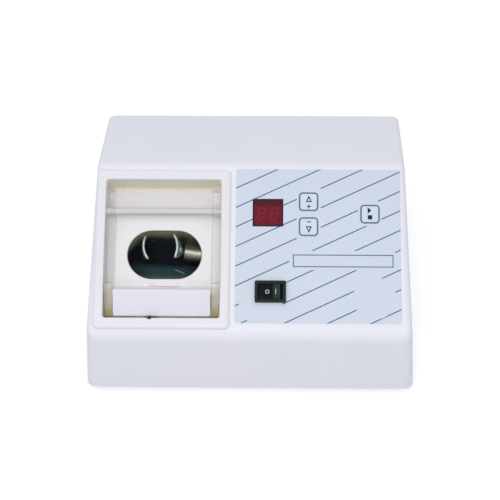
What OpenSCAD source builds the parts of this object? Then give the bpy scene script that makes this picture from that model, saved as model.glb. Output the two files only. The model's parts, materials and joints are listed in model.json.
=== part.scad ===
// Dental amalgamator: a wedge-shaped bench mixer that shakes a filling capsule.
// X to the right, Y to the back, Z up. The origin is the middle of the footprint, at the feet.
// The sloping deck has its own frame: u to the right, v up the slope, n out of the deck.

/* [Housing] */
// Width at the bottom edge
body_w = 224; // [215:1:250]
// Depth at the bottom edge
body_d = 200; // [192:1:230]
// Height of the deck's front edge
front_h = 52; // [46:1:64]
// Slope of the deck
deck_slope = 33; // [28:1:36]
// Length of the deck up its slope
deck_len = 120; // [118:1:130]
// Fall of the rear plane
rear_fall = 17; // [12:1:22]
// Draft of the moulded sides
draft = 3.3; // [1:0.1:4]
// Wall thickness
wall = 3; // [2.2:0.1:3.6]
// Rounding of the front edges
front_r = 6; // [4:0.5:8]
// Rounding of the ridge and back edges
ridge_r = 3.6; // [2.4:0.2:5]

/* [Base] */
// Height of the gap under the body, which the feet hold open
foot_gap = 4; // [3:0.5:8]
// Radius of a rubber foot
foot_r = 9; // [6:0.5:12]
// Inset of the feet and base screws from the edges
foot_inset = 16; // [14:1:22]
// Thickness of the base plate
base_t = 2.5; // [2:0.5:4]
// Radius of the base screws
base_screw_r = 1.75; // [1.5:0.25:2]

/* [Chamber] */
// Distance from the body's left side to the raised surround
chamber_inset = 6.8; // [6:0.2:9]
// Lower edge of the recess, up the deck
recess_v = 11.5; // [10:0.5:14]
// Width of the recess
recess_w = 78.4; // [72:0.4:80]
// Length of the recess
recess_l = 96.4; // [92:0.4:98]
// Depth of the recess floor below the deck
recess_depth = 18; // [17:0.5:22]
// Wall of the chamber tray
tray_wall = 3; // [2.4:0.2:3.6]
// Width of the raised surround beside the recess
rim_w = 6.8; // [6:0.2:7.6]
// Height of the surround above the deck
rim_h = 2.5; // [1.5:0.5:4]
// Length of the oval hole
oval_l = 51; // [44:1:54]
// Width of the oval hole
oval_w = 34; // [30:1:36]
// Middle of the oval hole, up the deck
oval_v = 60; // [57:1:62]

/* [Cover] */
// Thickness of the bent clear sheet
sheet_t = 3; // [2:0.5:4]
// Thickness of the clear side walls
side_t = 5.4; // [4:0.2:7]
// Height of the cover's top above the deck
cover_top = 3.8; // [3.4:0.2:5]
// Place of the bend, up the deck
fold_v = 33.6; // [30:0.4:40]
// Slope of the front facet below the deck
facet_slope = 25; // [18:1:30]
// Radius of the hinge rod
rod_r = 2.5; // [2:0.25:3]
// Distance from the hinge rod to the recess's upper end
rod_inset = 21.6; // [20:0.4:24]
// Reach of the cover behind its hinge
tail_l = 15; // [12:0.5:15]

/* [Mixing fork] */
// Depth of the motor axis below the deck
axis_depth = 34; // [33:0.5:38]
// Place of the motor axis, up the deck
axis_v = 65; // [63:0.5:66]
// Distance from the chamber's middle to the hub's centre
hub_offset = 21.2; // [20:0.4:22.4]
// Radius of the hub
hub_r = 10; // [9.5:0.25:10.5]
// Tilt of the crank pin
crank_tilt = 7; // [4:0.5:8]
// Distance between the prongs
prong_gap = 21; // [18:0.5:23]
// Thickness of the fork's spring steel
fork_t = 1.2; // [0.8:0.1:1.6]
// Width of the prongs
prong_w = 17; // [13:0.5:17]
// Lean of the prongs towards the capsule
prong_lean = 12; // [6:0.5:13]

/* [Drive] */
// Radius of the motor
motor_r = 19; // [17:0.5:20]
// Length of the motor
motor_l = 58; // [50:1:66]
// Radius of the motor shaft
shaft_r = 2.5; // [2:0.25:3]
// Thickness of the bracket plate
bracket_t = 2.5; // [2:0.25:3]

/* [Panel] */
// Distance from the surround to the printed overlay
panel_gap = 3.4; // [2:0.2:5]
// Distance from the overlay to the body's right side
panel_inset = 10.2; // [9:0.2:14]
// Lower edge of the overlay
panel_v = 8.6; // [7:0.2:10]
// Length of the overlay
panel_l = 107.4; // [104:0.2:108]
// Thickness of the overlay
overlay_t = 0.4; // [0.3:0.1:0.6]
// Width of the display window
display_w = 20.5; // [18:0.5:24]
// Length of the display window
display_l = 19.2; // [16:0.4:22]
// Side of a key
key_s = 12.7; // [10:0.1:13.4]
// Travel of a key
key_travel = 0.4; // [0.3:0.1:0.5]
// Width of the rocker switch's bezel
switch_w = 21; // [20:0.5:23]
// Length of the rocker switch's bezel
switch_l = 15; // [14:0.5:17]

/* [Fits] */
// Radial clearance of a running fit
run = 0.05; // [0.02:0.01:0.08]
// Gap between parts that pass each other
gap = 0.35; // [0.3:0.05:0.45]
// Gap round the cover and other loose pieces
loose = 0.6; // [0.5:0.05:0.8]

/* [Hidden] */
$fn = 48;

front_y = -body_d / 2;
back_y = body_d / 2;
deck_y = front_y + (front_h - foot_gap) * tan(draft);
ridge_y = deck_y + deck_len * cos(deck_slope);
ridge_z = front_h + deck_len * sin(deck_slope);
// The rear plane falls until it meets the drafted back wall.
rear_run = (back_y - (ridge_z - foot_gap) * tan(draft) - ridge_y)
    / (1 - tan(rear_fall) * tan(draft));
rear_y = ridge_y + rear_run;
rear_z = ridge_z - rear_run * tan(rear_fall);
// Front bottom, deck edge, ridge, rear edge and back bottom, as Y and Z.
side_profile = [[front_y, foot_gap], [deck_y, front_h], [ridge_y, ridge_z],
    [rear_y, rear_z], [back_y, foot_gap]];
side_radii = [front_r, front_r, ridge_r, ridge_r + 1, front_r];

edge_t = 0.02;
plate_z = foot_gap + 0.5;
plate_top = plate_z + base_t;
vent_count = 9;
vent_pitch = 7;
vent_x = 6;
vent_y = front_y + 38;
vent_l = 28;
vent_w = 3;
post_r = 4;
post_h = 26;
web_t = 2;
foot_seat_r = base_screw_r + 2;
foot_seat_h = 2.2;
foot_edge = 1;
screw_bite = 9;
screw_head_h = 1.6;
foot_x = body_w / 2 - foot_inset;
foot_y = body_d / 2 - foot_inset;

chamber_u = -body_w / 2 + chamber_inset + rim_w + recess_w / 2;
recess_mid = recess_v + recess_l / 2;
tray_out_w = recess_w + 2 * tray_wall;
tray_out_l = recess_l + 2 * tray_wall;
rim_seat = 1;
rim_r = 3.8;
rim_edge = 1;
rim_extra = 1.5;
recess_r = 1.6;
floor_t = 2.5;
floor_low = -recess_depth - floor_t;
cup_wall = 1.5;
cup_r = oval_w / 2 + 2;
cup_l = oval_l + 6;
cup_depth = 20;
cup_shift = 1.5;

cover_w = recess_w - 2 * loose;
cover_left = chamber_u - cover_w / 2;
cover_right = chamber_u + cover_w / 2;
rod_v = recess_v + recess_l - rod_inset;
cover_back = rod_v + tail_l;
facet_v = recess_v + 2.3;
facet_drop = (fold_v - facet_v) * tan(facet_slope);
sheet_low = cover_top - sheet_t;
bend_r = 7;
lap = 0.02;
bend_back = bend_r * tan(facet_slope / 2);
bend_v = fold_v + bend_back;
rod_n = sheet_low - 0.3 - rod_r;
rod_l = recess_w + 2 * tray_wall - 1.2;
side_low = -14;
block_w = 5;
block_l = 8;
block_h = 6;
plunger_u = chamber_u - 7.6;
plunger_w = 3.4;
plunger_l = 2.7;
plunger_v = recess_v + 0.2;
plunger_low = -9;
plunger_high = rim_h - 0.7;

hub_u = chamber_u + hub_offset;
hub_front = 9.8;
hub_back = 9;
bearing_r = 8;
bearing_w = 5;
pin_reach = hub_back + 3;
collar_r = 6;
collar_u = hub_u + 11;
collar_w = 5;
weight_w = 4;
bracket_u = hub_u + 23;
motor_u = bracket_u + bracket_t;
motor_screw_v = motor_r - 3;
motor_screw_r = 1.4;
motor_boss_r = 6.5;
motor_boss_h = 1.6;
bracket_l = 44;
bracket_w = 42;
mount_h = 8;
mount_r = 5;
mount_neck_r = 2.1;
mount_cap_r = 3.6;
mount_cap_h = 2;
foot_low = plate_top + mount_h;
// The motor axis in Y and Z.
axis_y = deck_y + axis_v * cos(deck_slope) + axis_depth * sin(deck_slope);
axis_z = front_h + axis_v * sin(deck_slope) - axis_depth * cos(deck_slope);
fork_seat = 3.5;
prong_bow = 16;
prong_rise = 8;
prong_reach = 6;
prong_hole_r = 2.6;
fork_screw_r = 1.45;
spring_wire = 0.7;
spring_r = hub_r + 2.2;
spring_turns = 5;
base_n = -9.5;
prong_low = -base_n * tan(prong_lean);

panel_u = chamber_u + recess_w / 2 + rim_w + panel_gap;
panel_w = body_w / 2 - panel_inset - panel_u;
key_left_u = panel_u + 49.4;
key_up_v = 93;
key_down_v = 75.4;
key_start_u = panel_u + panel_w - 20.5;
key_start_v = 84.4;
key_spots = [[key_left_u, key_up_v], [key_left_u, key_down_v], [key_start_u, key_start_v]];
key_t = 1;
key_r = 2.6;
key_pocket = 1.2;
key_stem_r = 2;
display_u = panel_u + 21.8;
display_v = 85.2;
window_t = 1.5;
module_h = 8;
switch_u = panel_u + 23.8;
switch_v = 29.9;
bezel_t = 2;
bezel_lip = 0.8;
switch_wall = 2.2;
switch_depth = 16;
switch_well = 8;
axle_n = -2.2;
axle_r = 1;
tab_l = 5;
tab_w = 4.6;
tab_t = 0.8;
tab_pitch = 6;
rocker_tilt = 9;
rocker_top = 4.4;
rocker_low = -4;

board_n = -wall - 6;
board_t = 1.6;
board_w = panel_w - 9.6;
board_l = 44;
board_u = panel_u + panel_w / 2 + 1;
board_v = 84;
board_hole_w = board_w - 8;
board_hole_l = board_l - 7;
stem_gap = key_travel + 0.3;
chip_w = 7;
chip_h = 3;
plug_w = 10;
plug_l = 6;
plug_h = 5;
board_screw_r = 1.05;
board_boss_r = 3;
tact_s = 6;
tact_h = 2.8;
tact_top = 3.6;

inlet_x = 58;
inlet_z = 50;
inlet_w = 30;
inlet_h = 22;
inlet_lip = 1.9;
inlet_depth = 20;
flange_t = 1.4;
blade_w = 2;
blade_pitch = 7;
blade_drop = 2;
blade_spots = [[-blade_pitch, -blade_drop], [0, blade_drop], [blade_pitch, -blade_drop]];
socket_x = 10.5;
socket_y = 6.8;
socket_cut = 4;
fuse_x = 22;
fuse_r = 6;
fuse_wall = 1.4;
fuse_depth = 24;
cap_h = 1.2;
slot_w = 1.2;
trafo_x = 58;
trafo_y = back_y - 58;
core_w = 48;
core_d = 22;
core_h = 40;
limb = 8;
lug_w = 9;
lug_t = 1.5;
lug_hole_r = 2;
power_x = -48;
power_y = back_y - 48;
power_w = 74;
power_l = 52;
spacer_h = 6;
spacer_r = 3;
board_edge = 4;
tray_screw_r = 1.5;
can_r = 8;
can_h = 22;
relay_w = 19;
relay_h = 15;
row_w = 36;
row_h = 10;
sink_w = 12;
sink_h = 18;

function unit(a) = a / norm(a);
// Centre of the circle of radius r that touches both edges at corner i of a profile.
function round_centre(pts, i, r) =
    let (n = len(pts), p = pts[i], a = unit(pts[(i + n - 1) % n] - p), b = unit(pts[(i + 1) % n] - p))
    p + unit(a + b) * r / sin(acos(a * b) / 2);
// Half the body's width at a height.
function half_w(z) = body_w / 2 - (z - foot_gap) * tan(draft);

module on_deck() {
    translate([0, deck_y, front_h]) rotate([deck_slope, 0, 0]) children();
}

// The fork's own frame: its origin is where the crank pin crosses the motor axis, and -X runs along the fork.
module on_fork() {
    on_deck() translate([hub_u, axis_v, -axis_depth]) rotate([0, 0, -crank_tilt]) children();
}

module along_x() {
    rotate([0, 90, 0]) children();
}

module rounded_rect(w, d, r) {
    square([w - 2 * r, d], center = true);
    square([w, d - 2 * r], center = true);
    for (x = [-1, 1], y = [-1, 1]) translate([x * (w / 2 - r), y * (d / 2 - r)]) circle(r);
}

module stadium(l, w) {
    square([l - w, w], center = true);
    for (x = [-1, 1]) translate([x * (l - w) / 2, 0]) circle(d = w);
}

// The body's outer form, or its inner form when inset is the wall.
module housing_form(inset) {
    hull() {
        for (s = [-1, 1], i = [1, 2, 3]) {
            r = max(side_radii[i] - inset, 1);
            c = round_centre(side_profile, i, r + inset);
            translate([s * (half_w(c[1]) - r - inset), c[0], c[1]]) sphere(r, $fn = 28);
        }
        for (s = [-1, 1], i = [0, 4]) {
            r = max(side_radii[i] - inset, 1);
            y = side_profile[i][0] - sign(side_profile[i][0]) * (r + inset);
            low = inset > 0 ? 1 : 0;
            translate([s * (body_w / 2 - r - inset), y, foot_gap - low])
                cylinder(h = max(low, edge_t), r = r, $fn = 28);
        }
    }
}

// Four places in a rectangle, for feet, screws and posts.
module at_corners(x, y) {
    for (i = [-1, 1], j = [-1, 1]) translate([i * x, j * y, 0]) children();
}

// Each screw post has two webs, one to the side wall and one to the front or back wall.
module housing_posts() {
    intersection() {
        for (i = [-1, 1], j = [-1, 1]) translate([i * foot_x, j * foot_y, plate_top]) {
            cylinder(h = post_h, r = post_r);
            translate([i > 0 ? 0 : -foot_inset, -web_t / 2, 0]) cube([foot_inset, web_t, post_h]);
            translate([-web_t / 2, j > 0 ? 0 : -foot_inset, 0]) cube([web_t, foot_inset, post_h]);
        }
        housing_form(wall / 2);
    }
    on_deck() translate([board_u, board_v, board_n]) at_corners(board_hole_w / 2, board_hole_l / 2)
        cylinder(h = -board_n - wall / 2, r = board_boss_r);
}

module key_pad(grow) {
    linear_extrude(key_t + grow) rounded_rect(key_s + 2 * grow, key_s + 2 * grow, key_r);
}

module upper_housing() {
    color("whitesmoke") difference() {
        union() {
            difference() {
                housing_form(0);
                housing_form(wall);
            }
            housing_posts();
        }
        at_corners(foot_x, foot_y) translate([0, 0, plate_top - 1])
            cylinder(h = screw_bite + 4, r = base_screw_r - run);
        on_deck() {
            translate([chamber_u, recess_mid, -wall - 4]) linear_extrude(wall + 8)
                rounded_rect(tray_out_w + gap, tray_out_l + gap, rim_r + gap / 2);
            translate([chamber_u, recess_mid, -rim_seat]) linear_extrude(8)
                rounded_rect(recess_w + 2 * rim_w + gap, recess_l + 2 * rim_w + rim_extra + gap,
                    rim_r + gap / 2);
            translate([display_u, display_v, -wall - 1]) linear_extrude(wall + 2)
                square([display_w + gap, display_l + gap], center = true);
            translate([switch_u, switch_v, -wall - 1]) linear_extrude(wall + 2)
                square([switch_w - 2 * bezel_lip, switch_l - 2 * bezel_lip], center = true);
            for (k = key_spots) translate([k[0], k[1], 0]) {
                translate([0, 0, -key_pocket]) linear_extrude(key_pocket + 1)
                    rounded_rect(key_s + 2 * gap, key_s + 2 * gap, key_r + gap);
                translate([0, 0, -wall - 1]) cylinder(h = wall + 2, r = key_stem_r + gap);
            }
            translate([board_u, board_v, board_n - 1]) at_corners(board_hole_w / 2, board_hole_l / 2)
                cylinder(h = plug_h + 1, r = board_screw_r + run);
        }
        on_back(inlet_x) translate([0, 0, -3 * wall]) linear_extrude(4 * wall)
            square([inlet_w - 2 * inlet_lip + 2 * gap, inlet_h - 2 * inlet_lip + 2 * gap], center = true);
        on_back(fuse_x) translate([0, 0, -3 * wall]) cylinder(h = 4 * wall, r = fuse_r + gap);
    }
}

module base_plate() {
    color("gainsboro") difference() {
        translate([0, 0, plate_z]) linear_extrude(base_t)
            rounded_rect(body_w - 2 * (wall + 1), body_d - 2 * (wall + 1), front_r - 1);
        at_corners(foot_x, foot_y) {
            translate([0, 0, plate_z - 1]) cylinder(h = base_t + 2, r = base_screw_r + 0.25);
        }
        for (i = [0:vent_count - 1]) translate([vent_x + i * vent_pitch, vent_y, plate_z - 1])
            rotate([0, 0, 90]) linear_extrude(base_t + 2) stadium(vent_l, vent_w);
    }
}

module rubber_feet() {
    color("dimgray") at_corners(foot_x, foot_y) rotate_extrude()
        polygon([[foot_seat_r, 0], [foot_r - foot_edge, 0], [foot_r, foot_edge], [foot_r, plate_z],
            [base_screw_r + loose, plate_z], [base_screw_r + loose, foot_seat_h],
            [foot_seat_r, foot_seat_h]]);
}

module screw(shank_r, shank_l, head_r, head_h) {
    rotate_extrude() polygon([[0, -head_h], [head_r * 0.75, -head_h], [head_r, -head_h * 0.5], [head_r, 0],
        [shank_r, 0], [shank_r, shank_l], [0, shank_l]]);
}

module base_screws() {
    color("silver") at_corners(foot_x, foot_y) translate([0, 0, plate_z])
        screw(base_screw_r - 2 * run, base_t + screw_bite, foot_seat_r - 1.5, screw_head_h);
}

module chamber_tray() {
    color("white") on_deck() difference() {
        translate([chamber_u, recess_mid, 0]) {
            translate([0, 0, floor_low]) linear_extrude(rim_h - floor_low - 0.5)
                rounded_rect(tray_out_w, tray_out_l, rim_r);
            hull() {
                translate([0, 0, -rim_seat]) linear_extrude(rim_seat + rim_h - rim_edge)
                    rounded_rect(recess_w + 2 * rim_w, recess_l + 2 * rim_w + rim_extra, rim_r, $fn = 28);
                linear_extrude(rim_h) rounded_rect(recess_w + 2 * (rim_w - rim_edge),
                    recess_l + 2 * (rim_w - rim_edge) + rim_extra, rim_r - rim_edge, $fn = 28);
            }
        }
        translate([chamber_u, recess_mid, -recess_depth]) linear_extrude(recess_depth + rim_h + 1)
            rounded_rect(recess_w, recess_l, recess_r);
        translate([chamber_u, oval_v, floor_low - 1]) linear_extrude(floor_t + 2) stadium(oval_l, oval_w);
        translate([chamber_u, rod_v, rod_n]) along_x()
            cylinder(h = rod_l + 2 * gap, r = rod_r + run, center = true);
        translate([plunger_u, recess_v, -13]) linear_extrude(20)
            square([plunger_w + 2 * gap, 2 * (plunger_l / 2 - 0.2 + gap)], center = true);
    }
}

module splash_cup() {
    cup_low = floor_low - cup_depth - axis_depth + recess_depth;
    color([0.1, 0.13, 0.12]) on_deck() difference() {
        translate([chamber_u, oval_v + cup_shift, 0]) difference() {
            union() {
                translate([0, 0, cup_low]) linear_extrude(floor_low - cup_low)
                    stadium(cup_l + 2 * cup_wall, 2 * (cup_r + cup_wall));
                translate([0, 0, floor_low - 1.5]) linear_extrude(1.5)
                    stadium(cup_l + 8, 2 * cup_r + 6);
            }
            translate([0, 0, cup_low + cup_wall]) linear_extrude(60) stadium(cup_l, 2 * cup_r);
        }
        translate([hub_u - 12, axis_v, -axis_depth]) along_x()
            cylinder(h = 40, r = spring_r + spring_wire + gap);
    }
}

// Outline of the bent sheet in v and n, with the bend as a true arc.
module sheet_outline() {
    difference() {
        union() {
            translate([bend_v - lap, sheet_low]) square([cover_back - bend_v + lap, sheet_t]);
            translate([bend_v, cover_top - bend_r]) intersection() {
                difference() {
                    circle(bend_r, $fn = 96);
                    circle(bend_r - sheet_t, $fn = 96);
                }
                polygon([[0, 0], [0, 2 * bend_r],
                    [-2 * bend_r * sin(facet_slope), 2 * bend_r * cos(facet_slope)]]);
            }
            translate([fold_v, cover_top]) rotate(180 + facet_slope)
                translate([bend_back - lap, 0])
                    square([(fold_v - facet_v) / cos(facet_slope) - bend_back + lap, sheet_t]);
        }
        translate([facet_v - recess_depth, side_low]) square([recess_depth, recess_depth + rim_h]);
    }
}

module side_outline() {
    bend = [for (i = [4:-1:0]) let (a = i * facet_slope / 4)
        [bend_v - bend_r * sin(a), cover_top - bend_r + bend_r * cos(a)]];
    polygon(concat([[facet_v, cover_top - facet_drop]], bend,
        [[bend_v, sheet_low], [cover_back, sheet_low], [cover_back, rod_n - 5.5],
        [rod_v + 6, side_low + 4], [rod_v - 2, side_low], [facet_v + 6, side_low],
        [facet_v, cover_top - facet_drop - sheet_t - 1]]));
}

module deck_extrude_u(u0, u1) {
    translate([u0, 0, 0]) rotate([90, 0, 90]) linear_extrude(u1 - u0) children();
}

module cover_sheet() {
    color([0.85, 0.9, 0.9, 0.4]) on_deck() {
        difference() {
            deck_extrude_u(cover_left, cover_right) sheet_outline();
            for (s = [-1, 1]) translate([chamber_u + s * (cover_w / 2 - side_t / 2 + 0.5), 0, 0])
                translate([-side_t / 2 - 0.5, facet_v - 2, side_low])
                    cube([side_t + 1, bend_v - facet_v + 2, 2 * recess_depth]);
        }
    }
}

module cover_side() {
    difference() {
        deck_extrude_u(-side_t / 2, side_t / 2) side_outline();
        translate([0, rod_v, rod_n]) along_x() cylinder(h = 3 * side_t, r = rod_r + run, center = true);
    }
}

module cover_side_left() {
    color([0.85, 0.88, 0.7, 0.5]) on_deck() translate([cover_left + side_t / 2, 0, 0]) cover_side();
}

module cover_side_right() {
    color([0.85, 0.88, 0.7, 0.5]) on_deck() translate([cover_right - side_t / 2, 0, 0]) cover_side();
}

module cover_corner_blocks() {
    color([0.75, 0.75, 0.4]) on_deck()
        for (u = [cover_left + side_t, cover_right - side_t - block_w])
            translate([u, facet_v + block_l, side_low + 1]) cube([block_w, block_l, block_h]);
}

module hinge_rod() {
    color("silver") on_deck() translate([chamber_u, rod_v, rod_n]) along_x()
        cylinder(h = rod_l, r = rod_r, center = true);
}

module release_plunger() {
    color([0.08, 0.08, 0.08]) on_deck() translate([plunger_u, plunger_v, 0]) {
        translate([-plunger_w / 2, -plunger_l / 2, plunger_low])
            cube([plunger_w, plunger_l, plunger_high - plunger_low]);
    }
}

module interlock_switch() {
    color([0.15, 0.15, 0.17]) on_deck()
        translate([plunger_u - 5, recess_v, -recess_depth]) cube([10, 3.6, 5.6]);
}

module panel_overlay() {
    color("lightsteelblue") on_deck() difference() {
        translate([panel_u + panel_w / 2, panel_v + panel_l / 2, 0]) linear_extrude(overlay_t)
            rounded_rect(panel_w, panel_l, 1.2);
        translate([display_u, display_v, -1]) linear_extrude(3)
            square([display_w + gap, display_l + gap], center = true);
        translate([switch_u, switch_v, -1]) linear_extrude(3)
            square([switch_w - 2 * bezel_lip, switch_l - 2 * bezel_lip], center = true);
        for (k = key_spots) translate([k[0], k[1], -1]) linear_extrude(3)
            rounded_rect(key_s + 2 * gap, key_s + 2 * gap, key_r + gap);
    }
}

module display_window() {
    color([0.45, 0.03, 0.06]) on_deck() translate([display_u, display_v, overlay_t - window_t])
        linear_extrude(window_t) square([display_w, display_l], center = true);
}

module display_module() {
    color([0.2, 0.2, 0.2]) on_deck() translate([display_u, display_v, board_n]) difference() {
        linear_extrude(overlay_t - window_t - board_n)
            square([display_w - 0.6, display_l - 0.6], center = true);
        for (s = [-1, 1]) translate([s * display_w / 4, 0, overlay_t - window_t - board_n - 0.3])
            linear_extrude(1) square([display_w * 0.3, display_l * 0.55], center = true);
    }
}

module control_board() {
    color("darkgreen") on_deck() translate([board_u, board_v, board_n - board_t]) {
        difference() {
            linear_extrude(board_t) square([board_w, board_l], center = true);
            translate([0, 0, -1]) at_corners(board_hole_w / 2, board_hole_l / 2) cylinder(h = 4, r = 1.5);
        }
        translate([board_w / 4, 0, -chip_h]) linear_extrude(chip_h)
            square([2 * chip_w, chip_w], center = true);
        translate([-board_w / 20, board_l / 4, -plug_h]) linear_extrude(plug_h)
            square([plug_w, plug_l], center = true);
    }
}

module board_screws() {
    color("silver") on_deck() translate([board_u, board_v, board_n - board_t])
        at_corners(board_hole_w / 2, board_hole_l / 2)
        screw(board_screw_r, board_t + plug_h - 1, board_boss_r - loose, screw_head_h);
}

module tact_switches() {
    color([0.15, 0.15, 0.15]) on_deck() for (k = key_spots) translate([k[0], k[1], board_n]) {
        linear_extrude(tact_h) square([tact_s, tact_s], center = true);
        cylinder(h = tact_top, r = key_stem_r - gap);
    }
}

module key_at(i) {
    k = key_spots[i];
    stem_low = board_n + tact_top + stem_gap;
    color("aliceblue") on_deck() translate([k[0], k[1], 0]) {
        translate([0, 0, overlay_t - key_t + 0.1]) key_pad(0);
        translate([0, 0, stem_low]) cylinder(h = overlay_t - key_t + 0.2 - stem_low, r = key_stem_r);
    }
}

module key_up() { key_at(0); }
module key_down() { key_at(1); }
module key_start_stop() { key_at(2); }

module switch_body() {
    color([0.1, 0.1, 0.11]) on_deck() translate([switch_u, switch_v, 0]) difference() {
        union() {
            translate([0, 0, overlay_t]) linear_extrude(bezel_t) rounded_rect(switch_w, switch_l, 1);
            translate([0, 0, -switch_depth]) linear_extrude(switch_depth + overlay_t)
                square([switch_w - 2 * bezel_lip - gap, switch_l - 2 * bezel_lip - gap], center = true);
            for (x = [-tab_pitch, 0, tab_pitch]) translate([x, 0, -switch_depth - tab_l])
                linear_extrude(tab_l + 1) square([tab_t, tab_w], center = true);
        }
        translate([0, 0, -switch_well]) linear_extrude(switch_depth)
            square([switch_w - 2 * switch_wall, switch_l - 2 * switch_wall], center = true);
        translate([0, 0, axle_n]) rotate([90, 0, 0])
            cylinder(h = switch_l - 2 * switch_wall + 2 * loose, r = axle_r + run, center = true);
    }
}

module switch_rocker() {
    half = switch_w / 2 - switch_wall - gap - 0.65;
    depth = switch_l - 2 * switch_wall - 2 * gap;
    foot = half / 3;
    color([0.05, 0.05, 0.06]) on_deck() translate([switch_u, switch_v, axle_n]) rotate([0, -rocker_tilt, 0]) {
        rotate([90, 0, 0]) linear_extrude(depth, center = true)
            polygon([[-half, rocker_top], [0, rocker_top - 1], [half, rocker_top], [half, 0.5],
                [foot, rocker_low], [-foot, rocker_low], [-half, 0.5]]);
        rotate([90, 0, 0]) cylinder(h = depth + 2 * gap + loose, r = axle_r, center = true);
    }
}

module motor_case() {
    color("gray") on_deck() translate([motor_u, axis_v, -axis_depth]) along_x() difference() {
        union() {
            cylinder(h = motor_l, r = motor_r);
            translate([0, 0, -motor_boss_h]) cylinder(h = 2 * motor_boss_h, r = motor_boss_r);
            translate([0, 0, motor_l]) cylinder(h = 2 * motor_boss_h, r = motor_boss_r - 1.5);
        }
        translate([0, 0, -3]) cylinder(h = motor_l + 10, r = shaft_r + run);
        for (s = [-1, 1]) translate([0, s * motor_screw_v, -1])
            cylinder(h = 2 * bracket_t + 2, r = motor_screw_r + run);
    }
}

// The bracket's foot rests on four rubber mounts.
module at_mounts() {
    edge = bracket_w / 2 - mount_r - 3;
    for (x = [2 * mount_r, bracket_l - mount_r - 3], y = [-edge, edge])
        translate([bracket_u + x, axis_y + y, plate_top]) children();
}

module motor_bracket() {
    color("silver") difference() {
        union() {
            translate([bracket_u, axis_y - bracket_w / 2, foot_low])
                cube([bracket_t, bracket_w, axis_z - foot_low]);
            translate([bracket_u, axis_y, axis_z]) along_x() cylinder(h = bracket_t, r = bracket_w / 2);
            translate([bracket_u, axis_y - bracket_w / 2, foot_low]) cube([bracket_l, bracket_w, bracket_t]);
        }
        translate([bracket_u - 1, axis_y, axis_z]) along_x()
            cylinder(h = bracket_t + 2, r = motor_boss_r + 2 * run);
        on_deck() translate([bracket_u - 1, axis_v, -axis_depth]) along_x()
            for (s = [-1, 1]) translate([0, s * motor_screw_v, 0])
                cylinder(h = bracket_t + 2, r = motor_screw_r + 4 * run);
        at_mounts() translate([0, 0, mount_h - 1]) cylinder(h = bracket_t + 2, r = mount_neck_r + 2 * run);
    }
}

module motor_screws() {
    color("dimgray") on_deck() translate([bracket_u, axis_v, -axis_depth]) along_x()
        for (s = [-1, 1]) translate([0, s * motor_screw_v, 0])
            screw(motor_screw_r, 3 * bracket_t, 2 * motor_screw_r, screw_head_h);
}

module vibration_mounts() {
    color([0.1, 0.1, 0.1]) at_mounts() {
        cylinder(h = mount_h, r = mount_r);
        cylinder(h = mount_h + bracket_t, r = mount_neck_r);
        translate([0, 0, mount_h + bracket_t]) cylinder(h = mount_cap_h, r = mount_cap_r);
    }
}

module motor_shaft() {
    color("silver") {
        on_deck() translate([collar_u, axis_v, -axis_depth]) along_x() {
            cylinder(h = collar_w, r = collar_r);
            cylinder(h = motor_u + motor_l + 6 - collar_u, r = shaft_r);
        }
        on_fork() translate([-bearing_w + 0.4, 0, 0]) along_x()
            cylinder(h = bearing_w + pin_reach, r = shaft_r);
    }
}

module balance_weight() {
    color("peru") on_deck() translate([collar_u + collar_w, axis_v, -axis_depth]) along_x() difference() {
        cylinder(h = weight_w, r = hub_r - 0.5);
        translate([0, 0, -1]) cylinder(h = weight_w + 2, r = shaft_r + run);
        translate([-20, 3.4, -1]) cube([40, 20, weight_w + 2]);
    }
}

module crank_bearings() {
    color("lightgray") on_fork() for (x = [-bearing_w + 0.5, 1]) translate([x, 0, 0])
        along_x() difference() {
        cylinder(h = bearing_w, r = bearing_r);
        translate([0, 0, -1]) cylinder(h = bearing_w + 2, r = shaft_r + run);
        for (z = [-0.6, bearing_w - 0.4]) translate([0, 0, z]) difference() {
            cylinder(h = 1, r = bearing_r - 1.4);
            translate([0, 0, -1]) cylinder(h = 3, r = shaft_r + 1.2);
        }
    }
}

module fork_hub() {
    color([0.62, 0.58, 0.5]) on_fork() difference() {
        translate([-hub_front, 0, 0]) along_x() cylinder(h = hub_front + hub_back, r = hub_r);
        translate([-bearing_w + 0.4, 0, 0]) along_x() cylinder(h = 40, r = bearing_r + run);
        translate([-hub_front - 1, 0, 0]) along_x()
            cylinder(h = bearing_w + 3, r = fork_screw_r + run);
    }
}

// A cone round the Z axis between two heights, with radius r at height 0 and narrower above it.
module lean_cone(low, high, r) {
    translate([0, 0, low]) cylinder(h = high - low, r1 = r - low * tan(prong_lean),
        r2 = r - high * tan(prong_lean), $fn = 96);
}

// A prong is a bowed strip that leans over the capsule. Its round hole takes one end of the capsule.
module prong(dir) {
    difference() {
        intersection() {
            translate([-dir * prong_bow, 0, 0]) difference() {
                lean_cone(base_n, prong_rise, prong_bow + fork_t / 2);
                lean_cone(base_n - 1, prong_rise + 1, prong_bow - fork_t / 2);
            }
            translate([-prong_reach, -prong_w / 2, base_n])
                cube([2 * prong_reach, prong_w, prong_rise - base_n]);
        }
        translate([-2 * prong_reach, 0, 0]) along_x() cylinder(h = 4 * prong_reach, r = prong_hole_r);
    }
}

module fork_frame() {
    near = hub_front + fork_t + fork_seat;
    color("lightsteelblue") on_fork() difference() {
        union() {
            translate([-hub_front - fork_t, -prong_w / 2, base_n - fork_t])
                cube([fork_t, prong_w, fork_t - base_n]);
            translate([-hub_front - fork_t, 0, 0]) along_x() cylinder(h = fork_t, r = prong_w / 2);
            translate([-near - prong_gap - prong_low, -prong_w / 2 + 1, base_n - fork_t])
                cube([near + prong_gap + prong_low - hub_front, prong_w - 2, fork_t]);
            translate([-near, 0, 0]) prong(1);
            translate([-near - prong_gap, 0, 0]) prong(-1);
        }
        translate([-hub_front - 2 * fork_t, 0, 0]) along_x()
            cylinder(h = 4 * fork_t, r = fork_screw_r + 3 * run);
    }
}

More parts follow.
